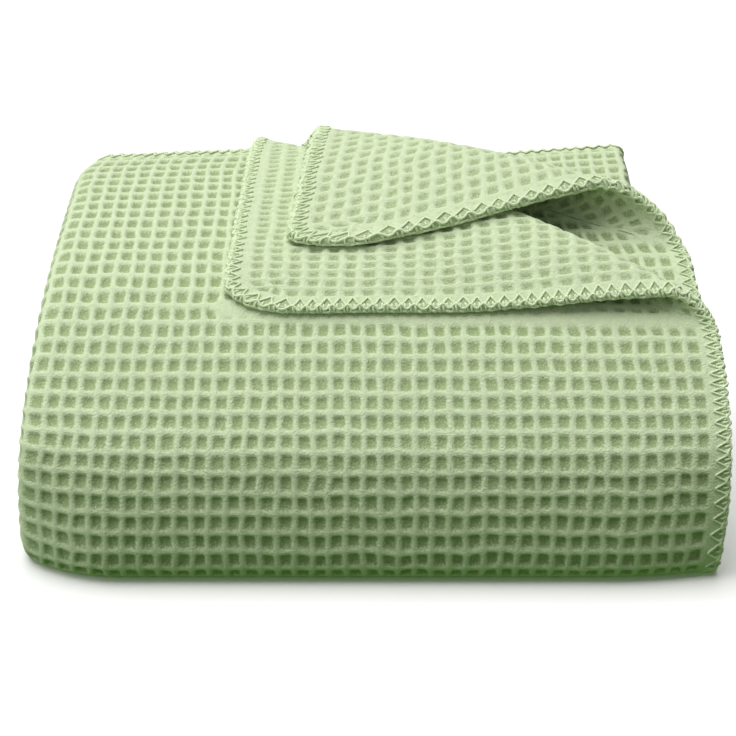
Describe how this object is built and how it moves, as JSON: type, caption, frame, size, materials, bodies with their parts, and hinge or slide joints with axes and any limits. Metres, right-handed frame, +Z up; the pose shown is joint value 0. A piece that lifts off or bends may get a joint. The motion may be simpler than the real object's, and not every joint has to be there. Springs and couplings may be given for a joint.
{
  "type": "folded summer blanket",
  "caption": "Thick waffle-weave blanket with an overlocked edge, folded into a pile with two of its corners turned over on top.",
  "frame": {"origin": "on the floor under the middle of the pile's box", "axes": "+X to the right along the pile's front, +Y from the front to the back, +Z up"},
  "size_m": [0.424, 0.2806, 0.2111],
  "materials": {
    "waffle_cloth": "brushed, soft, pale sage green"
  },
  "bodies": {
    "root": {"blanket": "waffle_cloth"}
  },
  "joints": []
}
